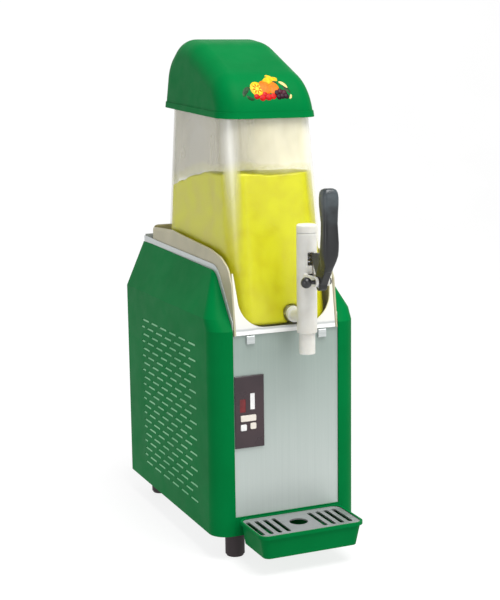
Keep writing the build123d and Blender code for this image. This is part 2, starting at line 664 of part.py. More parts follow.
def controls():
    x0, x1 = BEZEL_X
    z0, z1 = BEZEL_Z
    bezel = box(x0, x1, -BEZEL_T, -FIT_GAP, z0, z1)
    bezel += box(x0 + 5.5, x1 - 5.5, -FIT_GAP, 14, z0 + 5.5, z1 - 5.5)
    bezel -= box(x0 + 7.5, x1 - 7.5, -0.6, 20, z0 + 7.5, z1 - 7.5)
    face_edges = bezel.faces().sort_by(Axis.Y)[0].edges()
    bezel = chamfer(face_edges, 1.0)
    windows = {"display_window": (-78.0, -68.5, 230.0, 250.5), "level_bar": (-61.0, -53.5, 233.5, 258.5)}
    for name, (a, b, c, d) in windows.items():
        bezel -= box(a, b, -10, 5, c, d)
        add(name, box(a + 0.1, b - 0.1, -BEZEL_T + 0.4, 0.4, c + 0.1, d - 0.1))
    buttons = {"mode_button": (-77.0, -52.0, 216.0, 225.5), "minus_button": (-77.0, -67.5, 202.0, 211.5),
               "plus_button": (-61.5, -52.0, 203.5, 213.0)}
    for name, (a, b, c, d) in buttons.items():
        bezel -= box(a - 0.3, b + 0.3, -10, 5, c - 0.3, d + 0.3)
        cap = box(a, b, -BEZEL_T - BUTTON_PROUD, 1.2, c, d)
        cap = fillet(cap.edges().filter_by(Axis.Y), 1.8)
        cap = chamfer(cap.faces().sort_by(Axis.Y)[0].edges(), 0.5)
        cap += box(a - 0.8, b + 0.8, 1.2, 2.4, c - 0.8, d + 0.8)
        add(name, cap)
    add("control_bezel", bezel)
    board = box(x0 + 8.5, x1 - 8.5, 8, 9.6, z0 + 9, z1 - 9)
    for x, z in ((-72, 240), (-57, 245), (-64, 192)):
        board += box(x - 3.5, x + 3.5, 5.2, 8, z - 7, z + 7)
    add("control_board", board)


# ---------------------------------------------------------------- tap

def tap():
    flange_y = bowl_front(INLET_Z)
    body = upright(TAP_X, TAP_Y, TAP_SHOULDER, TAP_TOP - 12, TAP_R)
    body += upright(TAP_X, TAP_Y, SPOUT_BOTTOM, TAP_SHOULDER + 2, SPOUT_R)
    body = chamfer(body.edges().filter_by(GeomType.CIRCLE).sort_by(Axis.Z)[2:4], 1.2)
    body += level(TAP_X, INLET_Z, TAP_Y, flange_y - 5, INLET_PIPE_R)
    body += level(TAP_X, INLET_Z, flange_y - 8, flange_y - 4, INLET_FLANGE_R)
    body += level(TAP_X, INLET_Z, flange_y - 4.5, flange_y + 14, INLET_THREAD_R)
    for side in (-1, 1):
        x0, x1 = sorted((TAP_X + side * 6.6, TAP_X + side * 11.0))
        body += crosswise(PIVOT_Y, PIVOT_Z, x0, x1, EAR_R)
        body += box(x0, x1, PIVOT_Y, TAP_Y - 8, PIVOT_Z - EAR_R, PIVOT_Z + EAR_R)
    body -= upright(TAP_X, TAP_Y, PISTON_STOP - 5, TAP_TOP, TAP_BORE)
    body -= upright(TAP_X, TAP_Y, SPOUT_BOTTOM - 5, PISTON_STOP, SPOUT_BORE)
    body -= level(TAP_X, INLET_Z, TAP_Y, 60, INLET_BORE)
    body -= box(TAP_X - 5, TAP_X + 5, TAP_Y - 20, TAP_Y, PIVOT_Z - 8, PIVOT_Z + 38)
    body -= crosswise(PIVOT_Y, PIVOT_Z, TAP_X - 20, TAP_X + 20, PIVOT_R)
    add("tap_body", body)
    cap = upright(TAP_X, TAP_Y, TAP_TOP - 12, TAP_TOP, TAP_R)
    cap = chamfer(cap.edges().sort_by(Axis.Z)[-1], 1.8)
    cap += upright(TAP_X, TAP_Y, TAP_TOP - 22, TAP_TOP - 12, TAP_BORE - 0.2)
    add("tap_cap", cap)
    wall = bowl_block(0)
    add("tap_inlet_seal", level(TAP_X, INLET_Z, flange_y - 4, flange_y + 6, 11.5, INLET_HOLE_R) - wall)
    nut_face = make_face(Pos(TAP_X, INLET_Z) * RegularPolygon(13, 6).wire())
    nut = along(nut_face, flange_y - 2, flange_y + 12) - level(TAP_X, INLET_Z, -50, 50, INLET_THREAD_R)
    add("tap_nut", nut & bowl_block(BOWL_WALL))

    piston = upright(TAP_X, TAP_Y, PISTON_STOP - 4, PISTON_TOP, TAP_BORE - RUNNING_GAP)
    piston -= box(TAP_X - 5, TAP_X + 5, TAP_Y - 20, TAP_Y + 5, PIVOT_Z - 6, PIVOT_Z + 6)
    grooves = [PISTON_STOP, PISTON_STOP + 34]
    for z in grooves:
        piston -= upright(TAP_X, TAP_Y, z, z + 2.4, TAP_BORE + 2, TAP_BORE - 2)
    add("tap_piston", piston)
    rings = [upright(TAP_X, TAP_Y, z + 0.1, z + 2.3, TAP_BORE - RUNNING_GAP / 2, TAP_BORE - 2) for z in grooves]
    add("tap_piston_seals", *rings)
    height = TAP_TOP - 22 - PISTON_TOP - 2.2
    add("tap_spring", Pos(TAP_X, TAP_Y, PISTON_TOP + 1.1) * spring_coil(8, 0.9, height / 6, height))


def spring_coil(radius, wire, pitch, height):
    """A round wire wound into a helix from z = 0 up."""
    helix = Helix(pitch=pitch, height=height, radius=radius)
    section = Plane(origin=helix @ 0, x_dir=(1, 0, 0), z_dir=helix % 0) * Circle(wire)
    return sweep(section, path=helix, is_frenet=True)


def lever():
    back = LEVER_FRONT + 24
    grip_outline = flat_face(
        [(back, 471), (back, 528), (-97, 552), (-103, LEVER_TOP), (-121, LEVER_TOP - 1),
         (LEVER_FRONT, 540), (LEVER_FRONT + 1, 471)],
        [0, 40, 10, 7, 10, 40])
    grip = across(grip_outline, TAP_X - 12.5, TAP_X + 12.5)
    half = 12.5
    front_view = FilletPolyline((TAP_X - half, 460), (TAP_X - half, LEVER_TOP + 0.5),
                                (TAP_X + half, LEVER_TOP + 0.5), (TAP_X + half, 460), radius=10)
    grip &= along(make_face(front_view + Line((TAP_X + half, 460), (TAP_X - half, 460))), -200, 50)
    stem = flat_face([(back, 473), (LEVER_FRONT + 3, 473), (LEVER_FRONT + 5, 462), (-99, 428), (-86, 428),
                      (-84, 440), (-97, 464)])
    body = grip + across(stem, TAP_X - 6, TAP_X + 6)
    body += crosswise(PIVOT_Y, PIVOT_Z, TAP_X - 6, TAP_X + 6, 8)
    body += crosswise(PIVOT_Y - 1, PIVOT_Z - 6, TAP_X - 6, TAP_X + 6, 7)
    arm = flat_face([(PIVOT_Y, PIVOT_Z - 4.5), (TAP_Y - 1, PIVOT_Z - 3), (TAP_Y - 1, PIVOT_Z + 3),
                     (PIVOT_Y, PIVOT_Z + 4.5)])
    body += across(arm, TAP_X - 4, TAP_X + 4)
    body += crosswise(TAP_Y - 1, PIVOT_Z, TAP_X - 4, TAP_X + 4, 4.5)
    spur = flat_face([(-100, 452), (-68, 475), (-72, 466), (-88, 440)])
    body += across(spur, TAP_X - 4, TAP_X + 4)
    body -= crosswise(PIVOT_Y, PIVOT_Z, TAP_X - 20, TAP_X + 20, PIVOT_R + RUNNING_GAP)
    add("tap_lever", body)
    pin = crosswise(PIVOT_Y, PIVOT_Z, TAP_X - 22, TAP_X + 13, PIVOT_R)
    pin += crosswise(PIVOT_Y, PIVOT_Z, TAP_X + 11, TAP_X + 14, 5)
    pin += Pos(TAP_X - 24, PIVOT_Y, PIVOT_Z) * Rot(0, 90, 0) * Sphere(8)
    add("tap_pivot_pin", pin)


# ---------------------------------------------------------------- lid

def lid_block(inset):
    crown = [(38.5, LID_FOOT), (52, 714), (190, 778), (250, 787), (303, 750), (317.2, LID_FOOT)]
    profile = flat_face(crown, [0, 80, 100, 60, 60])
    section = flat_face([(-LID_HALF - 4, 600), (LID_HALF + 4, 600), (LID_HALF - 9.5, 810),
                         (9.5 - LID_HALF, 810)])
    if inset:
        profile = offset(profile, -inset, kind=Kind.INTERSECTION)
        section = offset(section, -inset, kind=Kind.INTERSECTION)
    block = across(profile, -WIDE, WIDE) & along(section, -50, 400)
    ridge = [e for e in block.edges() if e.center().Z > LID_FOOT + 5 and abs(e.center().X) > 20]
    return fillet(ridge, LID_EDGE_R - inset)


def lid():
    outer, room = lid_block(0), lid_block(LID_WALL)
    below = below_lid(0)
    band = (lid_block(-1.4) & below_lid(LID_BAND)) - below
    dome = (outer - below + band) - room
    for y, half in ((100, 1.5), (240, 1.5)):
        for side in (-1, 1):
            x0, x1 = sorted((side * 69, side * 78))
            rib = box(x0, x1, y - half, y + half, 675, 712) - below_lid(RIM_OVERLAP + FIT_GAP)
            dome += rib & lid_block(LID_WALL / 2)
    add("lid", dome)
    badge_area = make_face(Pos(2, 707) * RectangleRounded(66, 44, 8))
    skin = (lid_block(-0.9) - lid_block(-0.1)) & along(badge_area, 0, 120)
    add("lid_badge", skin)


# ---------------------------------------------------------------- drip tray

def tray():
    def layer(z, shrink, front, back):
        width = 2 * (TRAY_HALF - shrink)
        return Pos(0, (front + back) / 2, z) * RectangleRounded(width, back - front, 14 - shrink / 2)

    low = layer(TRAY_BOTTOM, 9, TRAY_FRONT + 8, TRAY_BACK)
    high = layer(TRAY_RIM, 2, TRAY_FRONT + 2, TRAY_BACK)
    shell = loft([low, high], ruled=True)
    shell += extrude(layer(TRAY_RIM - 5, 0, TRAY_FRONT, TRAY_BACK), amount=5)
    low_in = layer(TRAY_BOTTOM + TRAY_WALL, 12, TRAY_FRONT + 11, TRAY_BACK - 3)
    high_in = layer(TRAY_RIM - 4, 6, TRAY_FRONT + 6, TRAY_BACK - 3)
    shell -= loft([low_in, high_in], ruled=True)
    shell -= extrude(layer(TRAY_RIM - 4, 3, TRAY_FRONT + 3, TRAY_BACK - 2.5), amount=10)
    for x in (-50, 50):
        groove = box(x - 7.6, x + 7.6, -74, 5, TRAY_BOTTOM - 1, TONGUE_Z[1] + 0.4)
        tunnel = box(x - 9.8, x + 9.8, -76, TRAY_BACK, TRAY_BOTTOM, TONGUE_Z[1] + 2.4)
        shell = shell - groove + ((tunnel - groove) & loft([low, high], ruled=True))
    add("drip_tray", shell)
    plate = extrude(layer(TRAY_RIM - 3.7, 3.4, TRAY_FRONT + 3.4, TRAY_BACK - 2.9), amount=2.2)
    middle_y = (TRAY_FRONT + TRAY_BACK) / 2
    plate -= upright(GRATE_MIDDLE_X, middle_y + 2, 40, 90, GRATE_HOLE_R)
    for side in (-1, 1):
        for slot in range(GRATE_SLOTS):
            x = GRATE_MIDDLE_X + side * (GRATE_FIRST_SLOT + GRATE_SLOT_PITCH * slot)
            slit = Pos(x, middle_y, TRAY_RIM - 6) * SlotOverall(62, 7, rotation=90)
            plate -= extrude(slit, amount=10)
    add("drip_grate", plate)


for build in (side_panels, front_sheets, deck_sheets, rear_sheet, base_and_feet, frame, tray_brackets,
              seat, bowl_parts, slush, drum, auger, drive, refrigeration, power_inlet, controls,
              tap, lever, lid, tray):
    build()

for name, solids in nodes.items():
    placed = [Pos(0, -ORIGIN_Y, 0) * solid for solid in solids]
    export_step(placed[0] if len(placed) == 1 else Compound(children=placed), f"parts/{name}.step")
print(len(nodes), "nodes written")
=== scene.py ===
import bmesh
import bpy
import json
import math
from mathutils import Matrix, Vector, noise
from mathutils.bvhtree import BVHTree


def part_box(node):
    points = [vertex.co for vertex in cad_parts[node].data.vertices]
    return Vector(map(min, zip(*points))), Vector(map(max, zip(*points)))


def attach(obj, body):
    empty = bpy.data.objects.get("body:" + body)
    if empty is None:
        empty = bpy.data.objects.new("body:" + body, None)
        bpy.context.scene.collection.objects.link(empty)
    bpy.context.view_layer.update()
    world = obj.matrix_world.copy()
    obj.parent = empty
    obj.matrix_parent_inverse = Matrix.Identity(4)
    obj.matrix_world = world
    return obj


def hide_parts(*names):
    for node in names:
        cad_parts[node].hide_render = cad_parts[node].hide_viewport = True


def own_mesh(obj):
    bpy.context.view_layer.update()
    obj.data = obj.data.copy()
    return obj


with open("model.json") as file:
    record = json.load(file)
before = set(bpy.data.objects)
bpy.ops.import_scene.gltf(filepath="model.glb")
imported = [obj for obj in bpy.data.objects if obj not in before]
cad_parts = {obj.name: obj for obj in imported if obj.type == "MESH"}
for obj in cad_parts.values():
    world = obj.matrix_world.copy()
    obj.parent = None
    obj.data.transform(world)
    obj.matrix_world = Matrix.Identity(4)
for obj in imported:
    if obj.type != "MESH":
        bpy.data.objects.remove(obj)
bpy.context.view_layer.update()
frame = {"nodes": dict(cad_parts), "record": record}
nodes = frame["nodes"]
scene = bpy.context.scene

MM = 0.001

CAMERA_PLACE = (-0.8023, -1.8702, 0.7220)
CAMERA_YAW, CAMERA_PITCH, CAMERA_ROLL = 23.216, 9.704, -0.782
CAMERA_LENS = 77.835
CAMERA_SENSOR = 36.0
WORLD_LIGHT = 0.55
FLOOR_GLOW = 0.80

SLUSH_TOP = 0.583
# the slush's surface falls towards the rear in two ramps: start and end in y, and the fall, in metres
SLUSH_FALLS = ((-0.005, 0.070, 0.012), (0.070, 0.195, 0.034))
CHURN_DEPTH = 0.010

LOUVRE_ROWS = 21
LOUVRE_COLUMNS = 6
LOUVRE_PITCH = 12.4 * MM
LOUVRE_BOTTOM = 74.0 * MM
LOUVRE_FRONT = -65.0 * MM
LOUVRE_STEP = 43.0 * MM
LOUVRE_LENGTH = 31.0 * MM
LIP_THICK = 0.6 * MM
LIP_LEAN = 1.6 * MM
LIP_RISE = 2.6 * MM
LIP_PLAY = 0.15 * MM

FRUIT_SINK = 0.05
FRUIT_RINGS = 7
FRUIT_SPOKES = 28
BOW_STEPS = 14
BOW_ACROSS = (-1, -0.6, -0.2, 0.2, 0.6, 1)
LEMON_PLACE = (-19, -1)
LEMON_SEGMENTS = 8

LEVER_MIDDLE = 14.0
LEVER_HALF = 6.0
GRIP_CUT = 470.0 * MM
GRIP_STEP = 1.5
GRIP_SPOKES = 48
GRIP_SQUARENESS = 0.55
# height, half width, front and back of each section of the grip, in millimetres
GRIP_SECTIONS = (
    (450.0, 6.0, -251.5, -231.0),
    (458.0, 7.0, -257.0, -234.5),
    (466.0, 9.5, -260.5, -237.5),
    (474.0, 11.6, -262.5, -239.5),
    (482.0, 12.2, -263.0, -241.5),
    (492.0, 12.3, -263.0, -243.0),
    (505.0, 11.6, -262.5, -243.5),
    (520.0, 11.0, -261.5, -243.0),
    (534.0, 11.6, -262.0, -240.5),
    (546.0, 12.4, -262.5, -239.2),
    (556.0, 12.5, -262.5, -239.1),
    (563.0, 11.8, -261.0, -240.0),
    (567.0, 9.6, -259.0, -242.0),
    (568.8, 6.0, -256.0, -246.0),
)
# outline of the web between the stem and the spur, as (y, z) in millimetres
WEB_OUTLINE = ((-239, 476), (-207, 473), (-206, 464), (-222, 436), (-233, 431), (-257, 462), (-262, 476))
WEB_HALF = 4.5
# how far the centre of the lever's tail lies forward of and below the pivot, in metres
TAIL_FORWARD = 1 * MM
TAIL_BELOW = 6 * MM
SCREW_RADIUS = 3.2 * MM
SCREW_HEIGHT = 1.4 * MM


# ---------------------------------------------------------------- node helpers

class Paint:
    """One procedural material: a Principled shader and the nodes that feed it."""

    def __init__(self, name):
        self.material = bpy.data.materials.new(name)
        self.material.use_nodes = True
        self.tree = self.material.node_tree
        self.shader = self.tree.nodes["Principled BSDF"]
        self.place = self.tree.nodes.new("ShaderNodeTexCoord").outputs["Object"]

    def node(self, kind, **inputs):
        """A new node; an underscore in an input's name stands for a space."""
        made = self.tree.nodes.new(kind)
        for name, value in inputs.items():
            self.feed(made.inputs[name.replace("_", " ")], value)
        return made

    def feed(self, socket, value):
        """Links a socket to another one, or sets it to a constant."""
        if isinstance(value, bpy.types.NodeSocket):
            self.tree.links.new(value, socket)
        else:
            socket.default_value = value

    def set(self, **inputs):
        """Constants and linked values for the shader's own sockets."""
        for name, value in inputs.items():
            self.feed(self.shader.inputs[name.replace("_", " ")], value)

    def stretched(self, scale, turn=(0, 0, 0)):
        mapping = self.node("ShaderNodeMapping", Vector=self.place)
        mapping.inputs["Scale"].default_value = scale
        mapping.inputs["Rotation"].default_value = turn
        return mapping.outputs["Vector"]

    def noise(self, scale, detail=4.0, rough=0.55, vector=None):
        made = self.node("ShaderNodeTexNoise", Vector=vector or self.place)
        made.inputs["Scale"].default_value = scale
        made.inputs["Detail"].default_value = detail
        made.inputs["Roughness"].default_value = rough
        return made.outputs["Fac"]

    def ramp(self, value, *stops):
        """Colours by position; a stop is (position, colour)."""
        made = self.node("ShaderNodeValToRGB", Fac=value)
        ramp = made.color_ramp
        while len(ramp.elements) < len(stops):
            ramp.elements.new(0.5)
        for element, (position, colour) in zip(ramp.elements, stops):
            element.position = position
            element.color = (*colour, 1.0)
        return made.outputs["Color"]

    def band(self, value, low, high, bottom=0.0, top=1.0):
        """Maps low..high of a value onto bottom..top, held at the ends."""
        made = self.node("ShaderNodeMapRange", Value=value)
        for name, number in (("From Min", low), ("From Max", high), ("To Min", bottom), ("To Max", top)):
            made.inputs[name].default_value = number
        return made.outputs["Result"]

    def math(self, operation, a, b=0.0):
        made = self.tree.nodes.new("ShaderNodeMath")
        made.operation = operation
        self.feed(made.inputs[0], a)
        self.feed(made.inputs[1], b)
        return made.outputs["Value"]

    def blend(self, amount, a, b, mode="MIX"):
        made = self.tree.nodes.new("ShaderNodeMix")
        made.data_type = "RGBA"
        made.blend_type = mode
        self.feed(made.inputs["Factor"], amount)
        for socket, value in ((made.inputs[6], a), (made.inputs[7], b)):
            self.feed(socket, value if isinstance(value, bpy.types.NodeSocket) else (*value, 1.0))
        return made.outputs[2]

    def axis(self, name):
        """One coordinate of the point, in metres in the row frame."""
        made = self.node("ShaderNodeSeparateXYZ", Vector=self.place)
        return made.outputs[name]

    def bump(self, height, distance, strength=1.0, normal=None):
        made = self.node("ShaderNodeBump", Height=height)
        made.inputs["Distance"].default_value = distance
        made.inputs["Strength"].default_value = strength
        if normal is not None:
            self.tree.links.new(normal, made.inputs["Normal"])
        return made.outputs["Normal"]


def srgb(red, green, blue):
    """A screen colour, 0 to 255, as linear light."""
    channels = [c / 255 for c in (red, green, blue)]
    return tuple(c / 12.92 if c <= 0.04045 else ((c + 0.055) / 1.055) ** 2.4 for c in channels)


# ---------------------------------------------------------------- materials

def moulded(name, light, dark, roughness=0.4, grain=900.0, grain_depth=0.00004, specular=0.35):
    """Moulded plastic: two close tones, a fine surface texture and uneven gloss."""
    paint = Paint(name)
    clouds = paint.noise(9.0, 3.0)
    colour = paint.ramp(clouds, (0.35, dark), (0.65, light))
    gloss = paint.band(paint.noise(38.0, 5.0), 0.3, 0.7, roughness - 0.05, roughness + 0.07)
    skin = paint.bump(paint.noise(grain, 2.0), grain_depth)
    paint.set(Base_Color=colour, Roughness=gloss, Normal=skin)
    paint.set(Specular_IOR_Level=specular)
    return paint.material


def brushed_steel(name, grain, pale, dull, metallic=0.35, top_shade_span=None):
    """Brushed stainless sheet. grain stretches its fine lines; the optional height span, in metres, is where
    a painted shade darkens the sheet towards its top."""
    paint = Paint(name)
    lines = paint.noise(1.0, 6.0, 0.7, paint.stretched(grain))
    tone = paint.ramp(lines, (0.3, dull), (0.7, pale))
    if top_shade_span is not None:
        # painted shade: a grey ramp, multiplied in, darkens the sheet towards its top
        height = paint.band(paint.axis("Z"), *top_shade_span)
        shade = paint.ramp(height, (0.0, (1, 1, 1)), (1.0, (0.60, 0.66, 0.63)))
        tone = paint.blend(1.0, tone, shade, "MULTIPLY")
    gloss = paint.band(lines, 0.3, 0.7, 0.34, 0.48)
    paint.set(Base_Color=tone, Roughness=gloss, Normal=paint.bump(lines, 0.00002, 0.5))
    paint.set(Metallic=metallic)
    return paint.material


def galvanised():
    """Zinc-coated sheet with its pattern of crystals."""
    paint = Paint("galvanized")
    cells = paint.node("ShaderNodeTexVoronoi", Vector=paint.place)
    cells.inputs["Scale"].default_value = 160.0
    colour = paint.ramp(cells.outputs["Distance"], (0.0, srgb(150, 156, 158)), (1.0, srgb(190, 194, 195)))
    paint.set(Base_Color=colour, Roughness=paint.band(paint.noise(60.0), 0.3, 0.7, 0.4, 0.6))
    paint.set(Metallic=0.9)
    return paint.material


def machined(name, light, dark, roughness, metallic=1.0):
    """A metal or paint seen up close: fine turning marks and patches of dullness."""
    paint = Paint(name)
    marks = paint.noise(1.0, 5.0, 0.65, paint.stretched((90, 90, 1400)))
    colour = paint.ramp(marks, (0.3, dark), (0.7, light))
    gloss = paint.band(paint.noise(45.0), 0.3, 0.7, roughness - 0.08, roughness + 0.08)
    paint.set(Base_Color=colour, Roughness=gloss, Normal=paint.bump(marks, 0.00003, 0.5))
    paint.set(Metallic=metallic)
    return paint.material


def slush_line(paint):
    """How far a point lies above the slush's surface, in metres."""
    y = paint.axis("Y")
    drop = paint.math("ADD", *[paint.band(y, start, end, 0.0, fall) for start, end, fall in SLUSH_FALLS])
    return paint.math("SUBTRACT", paint.math("ADD", paint.axis("Z"), drop), SLUSH_TOP)


def bowl_plastic():
    """Clear plastic, transparent against the slush and misted over above it, with a painted highlight at its
    corners and painted shade across the mist, greyer to the left.
    """
    paint = Paint("clear_plastic")
    smears = paint.noise(1.0, 3.0, 0.5, paint.stretched((14, 14, 6)))
    uneven = paint.math("ADD", slush_line(paint), paint.band(smears, 0.3, 0.7, -0.006, 0.006))
    misted = paint.band(uneven, -0.002, 0.016, 0.0, 1.0)
    mist = paint.math("MULTIPLY", misted, paint.band(smears, 0.35, 0.65, 0.32, 0.55))
    # painted highlight: a near-white, more opaque band on the rounded corners, strongest around the slush
    # line
    corner_painted_highlight = paint.math("MULTIPLY", corner_turn(paint), paint.band(uneven, -0.13, 0.02, 0.06, 0.62))
    # painted shade across the mist: grey-beige towards the left, pale cream towards the right where the
    # light falls
    across = paint.math("ADD", paint.axis("X"), paint.band(smears, 0.3, 0.7, -0.03, 0.03))
    mist_shade_stops = ((0.0, srgb(176, 171, 148)), (0.45, srgb(206, 200, 170)), (1.0, srgb(246, 240, 208)))
    mist_painted_shade = paint.ramp(paint.band(across, -0.085, 0.06), *mist_shade_stops)
    tone = paint.blend(misted, srgb(214, 208, 60), mist_painted_shade)
    paint.set(Base_Color=paint.blend(corner_painted_highlight, tone, (1.0, 1.0, 0.97)))
    paint.set(Alpha=paint.math("MAXIMUM", paint.math("ADD", mist, 0.04), corner_painted_highlight))
    paint.set(Roughness=paint.band(smears, 0.3, 0.7, 0.18, 0.30))
    paint.set(Specular_IOR_Level=0.5, Coat_Weight=0.6, Coat_Roughness=0.12)
    return paint.material


def corner_turn(paint):
    """1 on the bowl's rounded upright corners, 0 on its flat walls, by where the surface faces; it places
    the bowl's painted highlight.
    """
    normal = paint.tree.nodes.new("ShaderNodeNewGeometry").outputs["Normal"]
    parts = paint.node("ShaderNodeSeparateXYZ", Vector=normal)
    across = paint.math("MULTIPLY", parts.outputs["X"], parts.outputs["Y"])
    return paint.band(paint.math("ABSOLUTE", across), 0.22, 0.5)


def milky(name, tint, shade, roughness=0.35, alpha=1.0):
    """Translucent plastic, with light scattered under its skin."""
    paint = Paint(name)
    tone = paint.ramp(paint.noise(30.0, 3.0), (0.3, shade), (0.7, tint))
    skin = paint.bump(paint.noise(1200.0, 2.0), 0.00003)
    paint.set(Base_Color=tone, Normal=skin)
    paint.set(Roughness=paint.band(paint.noise(60.0), 0.3, 0.7, roughness - 0.05, roughness + 0.06))
    paint.set(Subsurface_Weight=0.35, Subsurface_Scale=0.01, Specular_IOR_Level=0.4)
    paint.set(Subsurface_Radius=(1.0, 0.9, 0.7), Alpha=alpha)
    return paint.material


def lemon_ice():
    """Wet ice in yellow clumps, with a fine frost of crystals."""
    paint = Paint("slush")
    clumps = paint.noise(34.0, 6.0, 0.6)
    crystals = paint.node("ShaderNodeTexVoronoi", Vector=paint.place)
    crystals.inputs["Scale"].default_value = 520.0
    base = paint.ramp(clumps, (0.30, SLUSH_DEEP), (0.55, SLUSH_TONE), (0.80, SLUSH_PALE))
    frost = paint.band(crystals.outputs["Distance"], 0.0, 0.5, 0.12, 0.0)
    colour = paint.blend(frost, base, SLUSH_FROST)
    relief = paint.bump(crystals.outputs["Distance"], 0.0003, 0.35)
    relief = paint.bump(clumps, 0.003, 0.25, relief)
    paint.set(Base_Color=colour, Normal=relief)
    paint.set(Roughness=paint.band(clumps, 0.3, 0.7, 0.28, 0.5))
    paint.set(Subsurface_Weight=0.3, Subsurface_Scale=0.02, Subsurface_Radius=(1.0, 0.9, 0.15))
    return paint.material


def lit_window(name, light, dark, glow):
    """A small lit window, brighter in the middle of its segments."""
    paint = Paint(name)
    cells = paint.node("ShaderNodeTexBrick", Vector=paint.stretched((180, 180, 180), (math.pi / 2, 0, 0)))
    for name, colour in (("Color1", light), ("Color2", light), ("Mortar", dark)):
        cells.inputs[name].default_value = (*colour, 1.0)
    cells.inputs["Scale"].default_value = 1.0
    clouds = paint.ramp(paint.noise(120.0), (0.3, dark), (0.7, light))
    paint.set(Base_Color=paint.blend(0.5, cells.outputs["Color"], clouds), Roughness=paint.noise(90.0))
    paint.set(Emission_Color=(*light, 1.0), Emission_Strength=glow)
    return paint.material


def fibreglass():
    """Woven green circuit board."""
    paint = Paint("circuit_board")
    weave = paint.node("ShaderNodeTexWave", Vector=paint.place)
    weave.inputs["Scale"].default_value = 300.0
    paint.set(Base_Color=paint.ramp(weave.outputs["Fac"], (0.2, srgb(20, 70, 40)), (0.8, srgb(40, 105, 60))))
    paint.set(Roughness=paint.band(paint.noise(100.0), 0.3, 0.7, 0.3, 0.5))
    return paint.material


LEVEL_GRAIN = (6, 900, 900)
UPRIGHT_GRAIN = (900, 900, 5)
GREEN_LIGHT = srgb(0, 111, 54)
GREEN_DARK = srgb(0, 105, 50)
SLUSH_TONE = srgb(198, 197, 0)
SLUSH_DEEP = srgb(188, 181, 0)
SLUSH_PALE = srgb(205, 205, 4)
SLUSH_FROST = srgb(220, 219, 60)

# One look for each material slot of the record, except the badge's, which the fruit pieces have.
looks = {
    "green_shell": moulded("green_shell", GREEN_LIGHT, GREEN_DARK, 0.42, 700.0, 0.00003, 0.02),
    "stainless": brushed_steel("stainless", LEVEL_GRAIN, srgb(206, 211, 210), srgb(170, 176, 175), 0.5),
    "galvanized": galvanised(),
    "clear_plastic": bowl_plastic(),
    "slush": lemon_ice(),
    "white_plastic": milky("white_plastic", srgb(222, 221, 214), srgb(208, 206, 198)),
    "beige_plastic": milky("beige_plastic", srgb(176, 170, 142), srgb(160, 155, 128), 0.4),
    "black_plastic": moulded("black_plastic", srgb(26, 28, 30), srgb(17, 18, 20), 0.34, 600.0, 0.00005, 0.6),
    "dark_panel": moulded("dark_panel", srgb(60, 46, 50), srgb(44, 34, 39), 0.3, 900.0, 0.00002, 0.4),
    "red_window": lit_window("red_window", srgb(120, 24, 28), srgb(54, 15, 20), 0.08),
    "light_bar": lit_window("light_bar", srgb(225, 225, 222), srgb(190, 190, 194), 0.15),
    "cream_plastic": moulded("cream_plastic", srgb(222, 215, 204), srgb(208, 200, 188), 0.45),
    "rubber": moulded("rubber", srgb(62, 50, 54), srgb(38, 32, 35), 0.62, 500.0, 0.0001, 0.3),
    "silicone": milky("silicone", srgb(225, 228, 228), srgb(205, 208, 208), 0.5),
    "copper": machined("copper", srgb(205, 130, 92), srgb(170, 98, 66), 0.3),
    "aluminium": machined("aluminium", srgb(205, 207, 210), srgb(175, 178, 182), 0.38),
    "machine_steel": machined("machine_steel", srgb(170, 172, 176), srgb(132, 134, 140), 0.3),
    "black_paint": machined("black_paint", srgb(30, 31, 33), srgb(19, 20, 22), 0.45, 0.0),
    "circuit_board": fibreglass(),
}


def paint_cad_nodes():
    """Gives each CAD node the look of the material slot that the record names for it."""
    slots = {part["node"]: part["material_slot"] for part in frame["record"]["subparts"]}
    for name in nodes:
        if slots[name] in looks:
            repaint(name, looks[slots[name]])


def repaint(node, look):
    """Gives one CAD node a look of its own."""
    nodes[node].data.materials.clear()
    nodes[node].data.materials.append(look)


def special_looks():
    """Looks for single CAD pieces that differ from the rest of their slot."""
    low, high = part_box("front_panel")
    panel_pale, panel_dull = srgb(188, 196, 192), srgb(178, 187, 183)
    # The front sheet gets a painted shade, darker towards its top.
    top_shade_span = (low.z + 0.05, high.z - 0.03)
    repaint("front_panel", brushed_steel("front_sheet", UPRIGHT_GRAIN, panel_pale, panel_dull, 0.25, top_shade_span))
    grate_pale, grate_dull = srgb(176, 178, 178), srgb(122, 126, 126)
    repaint("drip_grate", brushed_steel("grate_sheet", LEVEL_GRAIN, grate_pale, grate_dull, 0.5))
    repaint("bowl_front_flange", flange_look())
    repaint("tap_nut", milky("clear_nut", srgb(226, 222, 170), srgb(206, 202, 150), alpha=0.45))


def flange_look():
    """Milky plastic with a painted grey shadow line above its lower lip."""
    paint = Paint("flange_plastic")
    low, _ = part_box("bowl_front_flange")
    rise = paint.band(paint.axis("Z"), low.z, low.z + 0.03)
    wavy = paint.math("ADD", rise, paint.band(paint.noise(40.0, 3.0), 0.3, 0.7, -0.02, 0.02))
    # painted shadow: the grey stop at 0.24 is a shadow line painted above the lower lip
    stops = (
        (0.0, srgb(226, 227, 226)),
        (0.16, srgb(232, 232, 230)),
        (0.24, srgb(168, 172, 172)),
        (0.34, srgb(214, 214, 210)),
        (1.0, srgb(226, 224, 212)),
    )
    paint.set(Base_Color=paint.ramp(wavy, *stops), Normal=paint.bump(paint.noise(1200.0, 2.0), 0.00003))
    paint.set(Roughness=paint.band(paint.noise(60.0), 0.3, 0.7, 0.3, 0.4))
    return paint.material


# ---------------------------------------------------------------- camera, lights and floor

